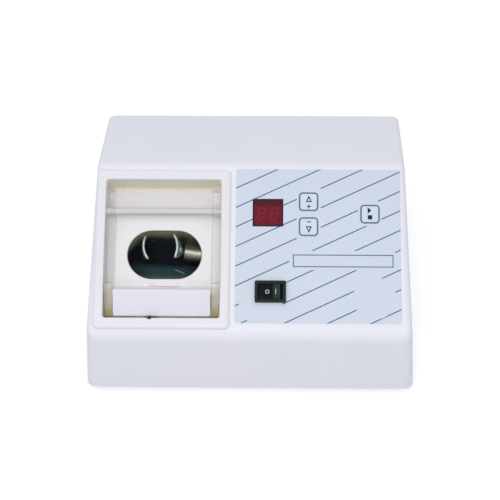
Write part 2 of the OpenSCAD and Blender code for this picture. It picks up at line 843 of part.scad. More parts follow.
module fork_screw() {
    color("silver") on_fork() translate([-hub_front - fork_t, 0, 0]) along_x()
        screw(fork_screw_r, fork_t + bearing_w - 1, 2 * fork_screw_r, screw_head_h);
}

// A wound wire as one tube: rings of six points, with the ends closed.
module coil(r, wire, pitch, turns) {
    sides = 6;
    steps = 18;
    count = turns * steps;
    rings = [for (i = [0:count]) let (a = i * 360 / steps, z = pitch * i / steps)
        [for (j = [0:sides - 1]) let (b = j * 360 / sides, q = r + wire * cos(b))
            [q * cos(a), q * sin(a), z + wire * sin(b)]]];
    points = [for (ring = rings, p = ring) p];
    walls = [for (i = [0:count - 1], j = [0:sides - 1])
        let (k = (j + 1) % sides, a = i * sides, b = a + sides)
        each [[a + j, a + k, b + j], [a + k, b + k, b + j]]];
    first = [[for (j = [sides - 1:-1:0]) j]];
    last = [[for (j = [0:sides - 1]) count * sides + j]];
    polyhedron(points, concat(walls, first, last));
}

module anti_rotation_spring() {
    reach = bracket_u - (hub_u + hub_back - 1.5);
    pitch = (reach - 2 * spring_wire) / spring_turns;
    color("silver") on_deck() translate([bracket_u - spring_wire, axis_v, -axis_depth])
        rotate([0, -90, 0]) coil(spring_r, spring_wire, pitch, spring_turns);
}

module power_board() {
    color("seagreen") translate([power_x, power_y, plate_top + spacer_h]) {
        difference() {
            linear_extrude(board_t) square([power_w, power_l], center = true);
            translate([0, 0, -1]) at_corners(power_w / 2 - board_edge, power_l / 2 - board_edge)
                cylinder(h = board_t + 2, r = tray_screw_r + 2 * run);
        }
        translate([-power_w / 4, can_r, board_t]) cylinder(h = can_h, r = can_r);
        translate([power_w / 5, can_r, board_t]) linear_extrude(relay_h)
            square([relay_w, relay_h], center = true);
        translate([0, -power_l / 3, board_t]) linear_extrude(row_h)
            square([row_w, row_h - 2], center = true);
        translate([-power_w / 3, -power_l / 5, board_t]) linear_extrude(sink_h)
            square([sink_w, sink_w / 3], center = true);
    }
}

module board_spacers() {
    color("white") translate([power_x, power_y, plate_top])
        at_corners(power_w / 2 - board_edge, power_l / 2 - board_edge) difference() {
            cylinder(h = spacer_h, r = spacer_r);
            translate([0, 0, -1]) cylinder(h = spacer_h + 2, r = tray_screw_r + 2 * run);
        }
}

module transformer_core() {
    color("dimgray") translate([trafo_x, trafo_y, plate_top]) difference() {
        union() {
            translate([-core_w / 2, -core_d / 2, 0]) cube([core_w, core_d, core_h]);
            translate([-core_w / 2 - lug_w, -core_d / 2, 0]) cube([core_w + 2 * lug_w, core_d, lug_t]);
        }
        for (s = [-1, 1]) translate([s * (core_w / 4) - limb / 2, -core_d, limb])
            cube([limb, 2 * core_d, core_h - 2 * limb]);
        for (s = [-1, 1]) translate([s * (core_w + lug_w) / 2, 0, -1])
            cylinder(h = lug_t + 2, r = lug_hole_r);
    }
}

module transformer_coil() {
    inner = core_w / 4 - limb / 2 + gap / 2;
    color("goldenrod") translate([trafo_x, trafo_y, plate_top + limb + gap]) difference() {
        translate([-core_w / 4 - limb / 2 + gap / 2, -core_d / 2 - limb, 0])
            cube([core_w / 2 + limb - gap, core_d + 2 * limb, core_h - 2 * limb - 2 * gap]);
        translate([-inner, -core_d / 2 - gap / 2, -1]) cube([2 * inner, core_d + gap, core_h]);
    }
}

module chassis_screws() {
    color("silver") {
        for (s = [-1, 1]) translate([trafo_x + s * (core_w + lug_w) / 2, trafo_y, plate_top + lug_t])
            rotate([180, 0, 0]) screw(lug_hole_r - gap, lug_t, 2 * (lug_hole_r - gap), screw_head_h);
        translate([power_x, power_y, plate_top + spacer_h + board_t])
            at_corners(power_w / 2 - board_edge, power_l / 2 - board_edge)
            rotate([180, 0, 0]) screw(tray_screw_r, spacer_h + board_t, spacer_r - gap, screw_head_h);
    }
}

module on_back(x) {
    translate([x, back_y - (inlet_z - foot_gap) * tan(draft), inlet_z])
        rotate([90 - draft, 0, 180]) children();
}

module mains_inlet() {
    color([0.12, 0.12, 0.13]) on_back(inlet_x) difference() {
        union() {
            linear_extrude(flange_t) rounded_rect(inlet_w, inlet_h, 2);
            translate([0, 0, -inlet_depth]) linear_extrude(inlet_depth + 1)
                square([inlet_w - 2 * inlet_lip, inlet_h - 2 * inlet_lip], center = true);
        }
        translate([0, 0, 5 - inlet_depth]) linear_extrude(inlet_depth)
            polygon([[-socket_x, -socket_y], [socket_x, -socket_y], [socket_x, socket_y - socket_cut],
                [socket_x - socket_cut, socket_y], [socket_cut - socket_x, socket_y],
                [-socket_x, socket_y - socket_cut]]);
        for (p = blade_spots) translate([p[0], p[1], -inlet_depth - 1]) linear_extrude(blade_pitch + 1)
            square([blade_w + 4 * run, 2 * blade_w + 4 * run], center = true);
    }
}

module inlet_blades() {
    color("silver") on_back(inlet_x) for (p = blade_spots)
        translate([p[0], p[1], -inlet_depth - 5]) linear_extrude(inlet_depth + 2)
            square([blade_w, 2 * blade_w], center = true);
}

module fuse_holder() {
    color([0.15, 0.15, 0.16]) on_back(fuse_x) difference() {
        union() {
            cylinder(h = flange_t, r = fuse_r + fuse_wall);
            translate([0, 0, -fuse_depth]) cylinder(h = fuse_depth + 1, r = fuse_r);
        }
        translate([0, 0, 4 - fuse_depth]) cylinder(h = fuse_depth, r = fuse_r - fuse_wall);
    }
}

module fuse_cap() {
    color([0.15, 0.15, 0.16]) on_back(fuse_x) difference() {
        union() {
            translate([0, 0, flange_t]) cylinder(h = cap_h, r = fuse_r);
            translate([0, 0, -fuse_depth / 3])
                cylinder(h = fuse_depth / 3 + cap_h + 1, r = fuse_r - fuse_wall - run);
        }
        translate([-slot_w / 2, -2 * fuse_r, flange_t + 0.4]) cube([slot_w, 4 * fuse_r, cap_h]);
    }
}

upper_housing();
base_plate();
rubber_feet();
base_screws();
chamber_tray();
splash_cup();
cover_sheet();
cover_side_left();
cover_side_right();
cover_corner_blocks();
hinge_rod();
release_plunger();
interlock_switch();
panel_overlay();
display_window();
display_module();
control_board();
board_screws();
tact_switches();
key_up();
key_down();
key_start_stop();
switch_body();
switch_rocker();
motor_case();
motor_bracket();
motor_screws();
vibration_mounts();
motor_shaft();
balance_weight();
crank_bearings();
fork_hub();
fork_frame();
fork_screw();
anti_rotation_spring();
power_board();
board_spacers();
transformer_core();
transformer_coil();
chassis_screws();
mains_inlet();
inlet_blades();
fuse_holder();
fuse_cap();
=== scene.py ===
import json
from math import atan2, cos, pi, radians, sin, sqrt, tan

import bmesh
import bpy
from mathutils import Matrix, Vector

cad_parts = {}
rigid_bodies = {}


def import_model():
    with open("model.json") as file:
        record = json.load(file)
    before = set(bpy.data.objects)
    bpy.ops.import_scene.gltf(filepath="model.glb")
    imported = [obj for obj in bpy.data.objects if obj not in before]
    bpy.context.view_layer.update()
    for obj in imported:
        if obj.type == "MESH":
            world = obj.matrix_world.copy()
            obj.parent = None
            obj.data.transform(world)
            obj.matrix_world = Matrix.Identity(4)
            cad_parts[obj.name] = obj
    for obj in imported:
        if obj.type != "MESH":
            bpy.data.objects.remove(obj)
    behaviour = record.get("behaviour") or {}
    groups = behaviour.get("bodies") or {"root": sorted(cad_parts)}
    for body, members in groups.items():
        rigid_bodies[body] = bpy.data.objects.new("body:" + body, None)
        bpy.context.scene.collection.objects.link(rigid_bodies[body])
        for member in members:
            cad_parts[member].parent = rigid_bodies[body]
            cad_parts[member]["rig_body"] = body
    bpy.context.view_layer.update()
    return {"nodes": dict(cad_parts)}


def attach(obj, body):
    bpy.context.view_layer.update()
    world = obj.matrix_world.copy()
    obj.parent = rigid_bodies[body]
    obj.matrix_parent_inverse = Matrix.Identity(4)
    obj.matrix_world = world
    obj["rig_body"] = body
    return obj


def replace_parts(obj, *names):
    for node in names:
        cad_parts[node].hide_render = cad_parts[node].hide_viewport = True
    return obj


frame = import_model()


# Base plate, feet and screws
# A grey moulded plate with a row of air slots closes the housing from below. Four zinc-plated screws hold it
# to the housing's posts, and each goes through a rubber foot. The shapes are the model's, with softer edges.


class Shade:
    """A shader socket that plain arithmetic works on, and that makes the other nodes of its material."""

    def __init__(self, socket):
        self.socket = socket

    def node(self, kind, settings={}, values={}, out=0):
        tree = self.socket.id_data
        made = tree.nodes.new("ShaderNode" + kind)
        for name, value in settings.items():
            setattr(made, name, value)
        for place, value in values.items():
            if isinstance(value, Shade):
                tree.links.new(value.socket, made.inputs[place])
            else:
                made.inputs[place].default_value = value
        return Shade(made.outputs[out])

    def maths(self, operation, *values):
        return self.node("Math", {"operation": operation}, dict(enumerate(values)))

    def __add__(self, other):
        return self.maths("ADD", self, other)

    def __sub__(self, other):
        return self.maths("SUBTRACT", self, other)

    def __rsub__(self, other):
        return self.maths("SUBTRACT", other, self)

    def __mul__(self, other):
        return self.maths("MULTIPLY", self, other)

    def __abs__(self):
        return self.maths("ABSOLUTE", self)

    def most(self, other):
        return self.maths("MAXIMUM", self, other)

    def least(self, other):
        return self.maths("MINIMUM", self, other)

    def between(self, low, high):
        """0 below low and 1 above high, in a straight line between them."""
        return self.node("MapRange", {}, {0: self, 1: low, 2: high})

    def mix(self, first, second):
        """The first colour where this value is 0, the second where it is 1."""
        return self.node("Mix", {"data_type": "RGBA"}, {0: self, 6: first, 7: second}, out=2)

    def part(self, axis):
        """One coordinate of a place."""
        return self.node("SeparateXYZ", {}, {0: self}, out="XYZ".index(axis))

    def stretch(self, *shares):
        return self.node("VectorMath", {"operation": "MULTIPLY"}, {0: self, 1: shares})

    def noise(self, size, detail=2.0, rough=0.5):
        """Soft random values around 0.5, with features of about this size in millimetres."""
        return self.node("TexNoise", {}, {"Vector": self, "Scale": 1 / size, "Detail": detail,
                                          "Roughness": rough})

    def feed(self, shader, socket):
        self.socket.id_data.links.new(self.socket, shader.inputs[socket])


def colour(red, green, blue):
    """A colour as a screen shows it, made linear for the shader."""
    return (*(((c / 255 + 0.055) / 1.055) ** 2.4 if c > 10 else c / 255 / 12.92
              for c in (red, green, blue)), 1.0)


def finish(name, base, rough, **constants):
    """A new material: its Principled shader, and the piece's coordinates in millimetres."""
    material = bpy.data.materials.new(name)
    material.use_nodes = True
    shader = material.node_tree.nodes["Principled BSDF"]
    shader.inputs["Base Color"].default_value = base
    shader.inputs["Roughness"].default_value = rough
    for socket, value in constants.items():
        shader.inputs[socket.replace("_", " ")].default_value = value
    start = Shade(shader.outputs[0])
    where = start.node("VectorMath", {"operation": "SCALE"},
                       {0: start.node("TexCoord", out=3), "Scale": 1000.0})
    return material, shader, where


def grain(shader, where, size, depth, strength=1.0):
    """A fine surface texture as bump: its size and depth are in millimetres."""
    height = where.noise(size, detail=3.0)
    height.node("Bump", {}, {"Strength": strength, "Distance": depth / 1000, "Height": height}).feed(
        shader, "Normal")


def uneven(shader, where, size, base, other, rough, rough_too):
    """Slow changes of colour and roughness over a surface, as moulding and handling leave them."""
    patches = where.noise(size).between(0.3, 0.7)
    patches.mix(base, other).feed(shader, "Base Color")
    (where.noise(size * 0.37, detail=4.0) * (rough_too - rough) + rough).feed(shader, "Roughness")


def alone(piece):
    """Makes a piece the only selected one, and the active one."""
    bpy.ops.object.select_all(action="DESELECT")
    piece.select_set(True)
    bpy.context.view_layer.objects.active = piece


def use(piece, kind, **settings):
    """Adds a modifier and applies it at once."""
    modifier = piece.modifiers.new(kind.lower(), kind)
    for name, value in settings.items():
        setattr(modifier, name, value)
    alone(piece)
    bpy.ops.object.modifier_apply(modifier=modifier.name)


def dress(piece, body, material, smooth=32):
    """Smooth shading on the rounded edges, the material, and the body that the piece rides on."""
    alone(piece)
    bpy.ops.object.shade_smooth_by_angle(angle=radians(smooth))
    use(piece, "WEIGHTED_NORMAL", keep_sharp=True)
    piece.data.materials.clear()
    piece.data.materials.append(material)
    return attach(piece, body)


def soften(node, material, radius=0.3, steps=2, flat=1.0):
    """A copy of a CAD node with merged faces and rounded edges, which stands for the node."""
    original = frame["nodes"][node]
    piece = bpy.data.objects.new(node + "_finished", original.data.copy())
    bpy.context.scene.collection.objects.link(piece)
    alone(piece)
    bpy.ops.object.mode_set(mode="EDIT")
    bpy.ops.mesh.select_all(action="SELECT")
    bpy.ops.mesh.remove_doubles(threshold=2e-6)
    bpy.ops.mesh.dissolve_limited(angle_limit=radians(flat))
    bpy.ops.object.mode_set(mode="OBJECT")
    if radius:
        use(piece, "BEVEL", width=radius / 1000, segments=steps, limit_method="ANGLE",
            angle_limit=radians(40))
    dress(piece, original["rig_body"], material)
    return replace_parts(piece, node)


plate_grey, shader, where = finish("moulded_grey", colour(196, 198, 200), 0.55)
uneven(shader, where, 40, colour(196, 198, 200), colour(188, 190, 193), 0.5, 0.62)
grain(shader, where, 0.5, 0.03)
soften("base_plate", plate_grey, 0.4)

rubber, shader, where = finish("black_rubber", colour(38, 38, 39), 0.78)
uneven(shader, where, 6, colour(38, 38, 39), colour(50, 49, 48), 0.7, 0.9)
grain(shader, where, 0.25, 0.04)
soften("rubber_feet", rubber, 0.5, 3)

zinc, shader, where = finish("zinc_plated", colour(188, 188, 184), 0.34, Metallic=1.0)
uneven(shader, where, 3, colour(188, 188, 184), colour(168, 168, 166), 0.28, 0.42)
soften("base_screws", zinc, 0.25)


# Drive, boards and transformer
# Everything that the housing hides: the motor on its rubber-mounted bracket with its shaft, weight and
# spring, the boards on their spacers and the transformer. The shapes are the model's own, with the finish of
# such parts.

steel, shader, where = finish("plain_steel", colour(176, 177, 179), 0.36, Metallic=1.0)
uneven(shader, where, 5, colour(176, 177, 179), colour(160, 160, 163), 0.3, 0.45)
case_paint, shader, where = finish("motor_enamel", colour(92, 96, 101), 0.48, Metallic=0.4)
uneven(shader, where, 12, colour(92, 96, 101), colour(82, 85, 90), 0.42, 0.55)
green_mask, shader, where = finish("solder_mask", colour(22, 96, 60), 0.4)
uneven(shader, where, 9, colour(22, 96, 60), colour(16, 82, 50), 0.34, 0.48)
brass, shader, where = finish("turned_brass", colour(206, 170, 106), 0.3, Metallic=1.0)
uneven(shader, where, 4, colour(206, 170, 106), colour(190, 150, 88), 0.25, 0.4)
iron, shader, where = finish("varnished_iron", colour(70, 70, 73), 0.5, Metallic=0.5)
uneven(shader, where, 7, colour(70, 70, 73), colour(56, 55, 58), 0.42, 0.6)
tape, shader, where = finish("winding_tape", colour(205, 170, 84), 0.3)
uneven(shader, where, 9, colour(205, 170, 84), colour(190, 152, 66), 0.25, 0.4)
nylon, shader, where = finish("white_nylon", colour(226, 225, 220), 0.5)
uneven(shader, where, 5, colour(226, 225, 220), colour(214, 212, 205), 0.45, 0.6)
black, shader, where = finish("black_plastic", colour(30, 32, 36), 0.38)
uneven(shader, where, 8, colour(30, 32, 36), colour(38, 41, 45), 0.32, 0.46)
grain(shader, where, 0.3, 0.02)
blades, shader, where = finish("nickel_plate", colour(205, 203, 196), 0.2, Metallic=1.0)
uneven(shader, where, 3, colour(205, 203, 196), colour(190, 187, 178), 0.16, 0.3)
hidden = {steel: ["motor_bracket", "motor_shaft", "crank_bearings", "anti_rotation_spring"],
          zinc: ["board_screws", "motor_screws", "chassis_screws"],
          case_paint: ["motor_case"], green_mask: ["control_board", "power_board"],
          brass: ["balance_weight"], iron: ["transformer_core"], tape: ["transformer_coil"],
          nylon: ["board_spacers"], rubber: ["vibration_mounts"],
          black: ["tact_switches", "interlock_switch"]}
for material, nodes in hidden.items():
    for node in nodes:
        for held in frame["nodes"][node].material_slots:
            held.material = material


# Upper housing
# One white moulded shell, 3 mm thick, with draft on every side and soft edges. It is open below, where
# four webbed posts take the base screws, and its deck has openings for the chamber, display, keys and switch.

slope, draft, fall = radians(33), radians(3.3), radians(17)
half_w, half_d, foot_gap, front_h, deck_l, wall_t = 112, 100, 4, 52, 120, 3
deck_y = -half_d + (front_h - foot_gap) * tan(draft)
# Pieces of the deck are modelled flat, u to the right, v up the slope and n out of it, and then laid on it.
deck = Matrix.Translation((0, deck_y, front_h)) @ Matrix.Rotation(slope, 4, "X")
to_metres = Matrix.Scale(0.001, 4)


def on_deck(shader):
    """Coordinates in the deck's frame, in millimetres."""
    start = Shade(shader.outputs[0])
    return start.node("Mapping", {"vector_type": "TEXTURE"},
                      {"Vector": start.node("TexCoord", out=3), "Location": deck.translation / 1000,
                       "Rotation": deck.to_euler(), "Scale": (0.001, 0.001, 0.001)})


def leave_edit():
    if bpy.context.mode != "OBJECT":
        bpy.ops.object.mode_set(mode="OBJECT")


def place(piece, where):
    """Moves a piece and leaves its object at the origin, with its place in its mesh."""
    leave_edit()
    alone(piece)
    piece.matrix_world = where
    bpy.ops.object.transform_apply()
    return piece


def block(name, low, high):
    """A box between two corners, in millimetres."""
    leave_edit()
    bpy.ops.object.select_all(action="DESELECT")
    low, high = Vector(low), Vector(high)
    bpy.ops.mesh.primitive_cube_add(size=1, location=(low + high) / 2, scale=high - low)
    piece = bpy.context.object
    piece.name = piece.data.name = name
    bpy.ops.object.transform_apply()
    return piece


def slab(name, middle, size, low, high):
    """A box of this size round a place on the deck, between two heights over the deck."""
    (u, v), half = middle, Vector(size) / 2
    return block(name, (u - half.x, v - half.y, low), (u + half.x, v + half.y, high))


def bar(name, radius, start, end, sides=48):
    """A round bar between two points, in millimetres."""
    leave_edit()
    bpy.ops.object.select_all(action="DESELECT")
    start, end = Vector(start), Vector(end)
    turn = (end - start).to_track_quat("Z", "Y").to_euler()
    bpy.ops.mesh.primitive_cylinder_add(vertices=sides, radius=radius, depth=(end - start).length,
                                        location=(start + end) / 2, rotation=turn)
    piece = bpy.context.object
    piece.name = piece.data.name = name
    bpy.ops.object.transform_apply()
    return piece


def pick(kind, test):
    """Selects, in edit mode, each face whose middle and normal pass, or edge or vertex whose ends pass."""
    bpy.ops.object.mode_set(mode="EDIT")
    bpy.ops.mesh.select_mode(type=kind)
    bpy.ops.mesh.select_all(action="DESELECT")
    shape = bmesh.from_edit_mesh(bpy.context.object.data)
    found = {"VERT": lambda: [v for v in shape.verts if test(v.co)],
             "EDGE": lambda: [e for e in shape.edges if test(*(v.co for v in e.verts))],
             "FACE": lambda: [f for f in shape.faces if test(f.calc_center_median(), f.normal)]}[kind]()
    for part in found:
        part.select_set(True)
    bmesh.update_edit_mesh(bpy.context.object.data)


def shave(point, outward):
    """Cuts away what lies outside a plane, and closes the cut."""
    bpy.ops.object.mode_set(mode="EDIT")
    bpy.ops.mesh.select_all(action="SELECT")
    bpy.ops.mesh.bisect(plane_co=point, plane_no=outward, use_fill=True, clear_outer=True)


def carve(piece, *tools, how="DIFFERENCE"):
    """Takes each tool out of the piece, or adds it, and removes the tool."""
    leave_edit()
    for tool in tools:
        use(piece, "BOOLEAN", object=tool, operation=how, solver="EXACT")
        bpy.data.objects.remove(tool)


def round_edges(offset, steps, test):
    """Rounds the edges whose two ends pass the test."""
    pick("EDGE", test)
    bpy.ops.mesh.bevel(offset=offset, segments=steps, affect="EDGES")


def upright(a, b):
    """True for an edge along z."""
    return abs(a.x - b.x) + abs(a.y - b.y) < 0.01


# A block higher than the ridge is shaved on each side to the drafted wedge, and opened below.
shell = block("housing_shell", (-half_w, -half_d, foot_gap), (half_w, half_d, 118))
for side in (-1, 1):
    shave((side * half_w, 0, foot_gap), (side * cos(draft), 0, sin(draft)))
    shave((0, side * half_d, foot_gap), (0, side * cos(draft), sin(draft)))
shave((0, deck_y, front_h), (0, -sin(slope), cos(slope)))
ridge = deck @ Vector((0, deck_l, 0))
shave(ridge, (0, sin(fall), cos(fall)))
pick("FACE", lambda middle, normal: normal.z < -0.9)
bpy.ops.mesh.delete(type="FACE")
# Each group of edges has its own radius, as a share of the largest.
edge_r = 6
at_front = lambda p: p.y < deck_y + 1
at_ridge = lambda p: abs(p.y - ridge.y) < 1
level = lambda a, b: abs(a.z - b.z) < 0.1
groups = [(1.0, lambda a, b: at_front(a) and at_front(b) and max(a.z, b.z) > foot_gap + 1),
          (0.6, lambda a, b: at_ridge(a) and at_ridge(b)),
          (0.8, lambda a, b: at_front(a) != at_front(b) and at_ridge(a) != at_ridge(b)),
          (0.66, lambda a, b: at_ridge(a) != at_ridge(b) and max(a.y, b.y) > ridge.y + 1),
          (0.77, lambda a, b: level(a, b) and min(a.y, b.y) > ridge.y + 1 and a.z > foot_gap + 1),
          (0.9, lambda a, b: not level(a, b) and min(a.y, b.y) > ridge.y + 1)]
for share, test in groups:
    pick("EDGE", lambda a, b: min(a.z, b.z) > foot_gap + 0.1 and test(a, b)
         or abs(a.z - b.z) > 10 and test(a, b))
    bpy.ops.transform.edge_bevelweight(value=share)
bpy.ops.object.mode_set(mode="OBJECT")
use(shell, "BEVEL", width=edge_r, segments=8, limit_method="WEIGHT", use_clamp_overlap=False)
use(shell, "SOLIDIFY", thickness=wall_t, offset=-1, use_even_offset=True, use_quality_normals=True)

chamber_u, recess_v, recess_w, recess_l = -59.2, 11.5, 78.4, 96.4
recess_mid = recess_v + recess_l / 2
# The tray drops into a shallow seat with a mouth through the deck. Each other opening is a little larger
# than what goes in, and its cut goes from under the deck's wall to above it.
mouth_size, seat_size, seat_depth, seat_r = (84.7, 102.7), (91.9, 111.4), 1, 4
mouth = slab("mouth", (chamber_u, recess_mid), mouth_size, -2 * wall_t - 1, 4)
seat = slab("seat", (chamber_u, recess_mid), seat_size, -seat_depth, 7)
round_edges(seat_r, 6, upright)
cut_low, cut_high, fit_gap = -wall_t - 1, 2, 0.3
display_u, display_v, display_w, display_l = 12, 85.2, 20.5, 19.2
pane_size = (display_w + fit_gap, display_l + fit_gap)
pane_hole = slab("pane_hole", (display_u, display_v), pane_size, cut_low, cut_high)
switch_u, switch_v, switch_size = 14, 29.9, (19.4, 13.4)
switch_hole = slab("switch_hole", (switch_u, switch_v), switch_size, cut_low, cut_high)
key_spots = {"key_up": (39.6, 93), "key_down": (39.6, 75.4), "key_start_stop": (81.3, 84.4)}
key_s, pocket_s, pocket_r, pocket_depth, stem_r = 12.7, 13.4, 2.6, 1.2, 2.35
tools = [mouth, seat, pane_hole, switch_hole]
for u, v in key_spots.values():
    pocket = slab("pocket", (u, v), (pocket_s, pocket_s), -pocket_depth, cut_high)
    round_edges(pocket_r, 6, upright)
    tools += [pocket, bar("stem_hole", stem_r, (u, v, cut_low - 1), (u, v, cut_high), 32)]
for tool in tools:
    place(tool, deck)
inlet_x, fuse_x, inlet_z, inlet_size, fuse_r = 58, 22, 50, (26.8, 18.8), 6.35
# The back wall's frame, at the height of the inlet.
back = (Matrix.Translation((0, half_d - (inlet_z - foot_gap) * tan(draft), inlet_z))
        @ Matrix.Rotation(pi, 4, "Z") @ Matrix.Rotation(pi / 2 - draft, 4, "X"))
tools += [place(slab("inlet_hole", (-inlet_x, 0), inlet_size, -3 * wall_t, wall_t), back),
          place(bar("fuse_hole", fuse_r, (-fuse_x, 0, -3 * wall_t), (-fuse_x, 0, wall_t)), back)]
carve(shell, *tools)

# Inside, four webbed posts take the base screws, and four bosses under the deck carry the control board.
post_x, post_y, post_low, post_top, post_r, pilot_r, pilot_l = 96, 84, 7, 33, 4, 1.7, 12
web_x, web_y, web_half = 109.3, 97.3, 1
board_u, board_v, boss_u, boss_v, boss_r, boss_low, boss_pilot_r = 47, 84, 47, 18.5, 3, -9, 1.1
posts, pilots = [], []
for i in (-1, 1):
    for j in (-1, 1):
        x, y, u, v = i * post_x, j * post_y, board_u + i * boss_u, board_v + j * boss_v
        posts += [bar("post", post_r, (x, y, post_low), (x, y, post_top)),
                  block("side_web", (min(x, i * web_x), y - web_half, post_low),
                        (max(x, i * web_x), y + web_half, post_top)),
                  block("end_web", (x - web_half, min(y, j * web_y), post_low),
                        (x + web_half, max(y, j * web_y), post_top)),
                  place(bar("boss", boss_r, (u, v, boss_low), (u, v, -wall_t / 2)), deck)]
        pilots += [bar("post_pilot", pilot_r, (x, y, post_low - 1), (x, y, post_low + pilot_l), 32),
                   place(bar("boss_pilot", boss_pilot_r, (u, v, boss_low - 1), (u, v, cut_low), 24), deck)]
carve(shell, *posts, how="UNION")
carve(shell, *pilots)

white, shader, where = finish("white_moulding", colour(235, 235, 241), 0.46)
uneven(shader, where, 70, colour(235, 235, 241), colour(232, 233, 240), 0.42, 0.52)
grain(shader, where, 0.55, 0.022, 0.6)
place(shell, to_metres)
dress(shell, "housing", white)
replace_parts(shell, "upper_housing")


# Chamber tray
# A separate white moulding: a raised surround with rounded edges, an 18 mm deep recess for the cover, and
# an oval hole in its floor for the fingers that put a capsule in. It drops into the housing's deck.

rim_w, rim_h, recess_depth, side_wall, box_depth, rim_extra = 6.8, 2.5, 18, 3, 19.5, 0.75
low = (chamber_u - recess_w / 2 - rim_w, recess_mid - recess_l / 2 - rim_w, -1)
high = (chamber_u + recess_w / 2 + rim_w, recess_mid + recess_l / 2 + rim_w, rim_h)
tray = block("tray", low, high)
pick("FACE", lambda middle, normal: normal.z > 0.9)
bpy.ops.mesh.inset(thickness=rim_w)
bpy.ops.mesh.extrude_region_move(TRANSFORM_OT_translate={"value": (0, 0, -recess_depth - rim_h)})
pick("FACE", lambda middle, normal: normal.z < -0.9 and middle.z > -1.1)
bpy.ops.mesh.inset(thickness=rim_w - side_wall)
bpy.ops.mesh.extrude_region_move(TRANSFORM_OT_translate={"value": (0, 0, -box_depth)})
for side in (-1, 1):
    pick("FACE", lambda middle, normal: normal.y * side > 0.9 and abs(middle.y - recess_mid) > 54)
    bpy.ops.transform.translate(value=(0, side * rim_extra, 0))
outside = lambda p: abs(p.x - chamber_u) > 45 or abs(p.y - recess_mid) > 54
inside = lambda p: abs(p.x - chamber_u) < 40 and abs(p.y - recess_mid) < 49
round_edges(3.8, 7, lambda a, b: upright(a, b) and outside(a))
round_edges(2.0, 6, lambda a, b: upright(a, b) and inside(a) and max(a.z, b.z) > 2)
round_edges(2.2, 8, lambda a, b: min(a.z, b.z) > rim_h - 0.01 and outside(a) and outside(b))
round_edges(1.3, 5, lambda a, b: min(a.z, b.z) > rim_h - 0.01 and inside(a) and inside(b))
# The recess's foot is nearly sharp, so that the open cover's rear edge clears it.
on_floor = lambda p: abs(p.z + recess_depth) < 0.1 and inside(p)
round_edges(0.5, 3, lambda a, b: on_floor(a) and on_floor(b))


def oval(name, middle, length, width, low, high, sides=64):
    """A bar of oval outline: half a round bar is drawn away from the other half."""
    piece = bar(name, width / 2, (*middle, low), (*middle, high), sides)
    for side in (-1, 1):
        pick("VERT", lambda p: (p.x - middle[0]) * side > -1e-4)
        bpy.ops.transform.translate(value=(side * (length - width) / 2, 0, 0))
        if side < 0:
            pick("VERT", lambda p: abs(p.x - middle[0]) < 0.01)
            bpy.ops.transform.translate(value=((length - width) / 2, 0, 0))
    return piece


oval_v, oval_l, oval_w = 60, 51, 34
hole = oval("hole", (chamber_u, oval_v), oval_l, oval_w, -recess_depth - 4, -recess_depth + 1)
rod_v, rod_n, rod_bore, rod_reach = 86.3, -2.0, 2.55, 41.8
rod_seat = bar("rod_seat", rod_bore, (chamber_u - rod_reach, rod_v, rod_n),
               (chamber_u + rod_reach, rod_v, rod_n))
# The plunger's stem runs in a slot of the lower rim, and its narrower nose comes out at the rim's top.
plunger_u, plunger_v, nose_n = chamber_u - 7.6, 11.7, -4.5
slot_v, slot_low, stem_slot, nose_slot = 11.65, -13, (4.1, 2.7), (2.7, 2.7)
slot_cut = slab("slot_cut", (plunger_u, slot_v), stem_slot, slot_low, nose_n + 2)
nose_cut = slab("nose_cut", (plunger_u, slot_v), nose_slot, nose_n, 7)
carve(tray, hole, rod_seat, slot_cut, nose_cut)
on_oval = lambda p: (abs(p.z + recess_depth) < 0.01 and abs(p.x - chamber_u) < oval_l / 2 + 0.5
                     and abs(p.y - oval_v) < oval_w / 2 + 0.1)
round_edges(1.2, 4, lambda a, b: on_oval(a) and on_oval(b))
place(tray, to_metres @ deck)
# Painted light and shade: the top wall has a warm painted shade, the recess is painted lighter than the rim
# and lightest round the oval hole, and the hole's edge has an olive painted shade.
tray_white, shader, where = finish("white_tray", colour(236, 235, 238), 0.4)
at = on_deck(shader)
top_wall_shade = at.part("Y").between(104, 107) * at.part("Z").between(0, -3)
oval_floor_light = abs(at.part("Y") - oval_v - 2).between(19, 26).mix(colour(252, 251, 253), colour(238, 236, 238))
inner = at.part("Z").between(0.5, -4).mix(colour(233, 231, 234), oval_floor_light)
hole_edge_shade = at.part("Z").between(-18.2, -18.7)
hole_edge_shade.mix(top_wall_shade.mix(inner, colour(240, 233, 214)), colour(148, 146, 118)).feed(shader, "Base Color")
(where.noise(20, detail=4) * 0.1 + 0.34).feed(shader, "Roughness")
grain(shader, where, 0.6, 0.02, 0.5)
dress(tray, "housing", tray_white)
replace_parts(tray, "chamber_tray")


# Splash cup
# A dark green-black moulded cup, fixed under the tray's floor round the oval hole. It catches what a broken
# capsule throws out. Its upper wall and floor carry painted light in olive and teal, and one pale streak
# crosses its floor.

cup, shader, where = finish("cup_green_black", colour(34, 44, 42), 0.2, Specular_IOR_Level=0.2)
at = on_deck(shader)
# Painted light: the upper wall turns pale olive towards the hole, the floor is painted teal that turns
# olive-green at its front, and the rest stays navy black.
depth = at.part("Z") + where.noise(5) * 4 - 2
rise = at.part("Y") + where.noise(6) * 3 - 1.5
wall = (depth.between(-55, -38) * rise.between(63, 74)).mix(colour(12, 18, 34), colour(244, 248, 214))
floor_light = rise.between(55, 51.5).mix(colour(50, 86, 92), colour(100, 128, 100))
low_down = depth.between(-50, -53)
tone = (rise.between(64, 58) * low_down).mix(wall, floor_light)
# One pale diagonal streak on the cup's floor.
streak_u, streak_v, streak_lean = -51, 56.9, 0.39
along = at.part("X") - streak_u
off = at.part("Y") - streak_v + along * streak_lean
pale_streak = abs(off).between(0.5, 0.2) * abs(along).between(3.9, 3.1) * low_down
(pale_streak * 0.5).mix(tone, colour(196, 210, 198)).feed(shader, "Base Color")
(where.noise(4, detail=3) * 0.14 + 0.16).feed(shader, "Roughness")
soften("splash_cup", cup, 0.5, 3)
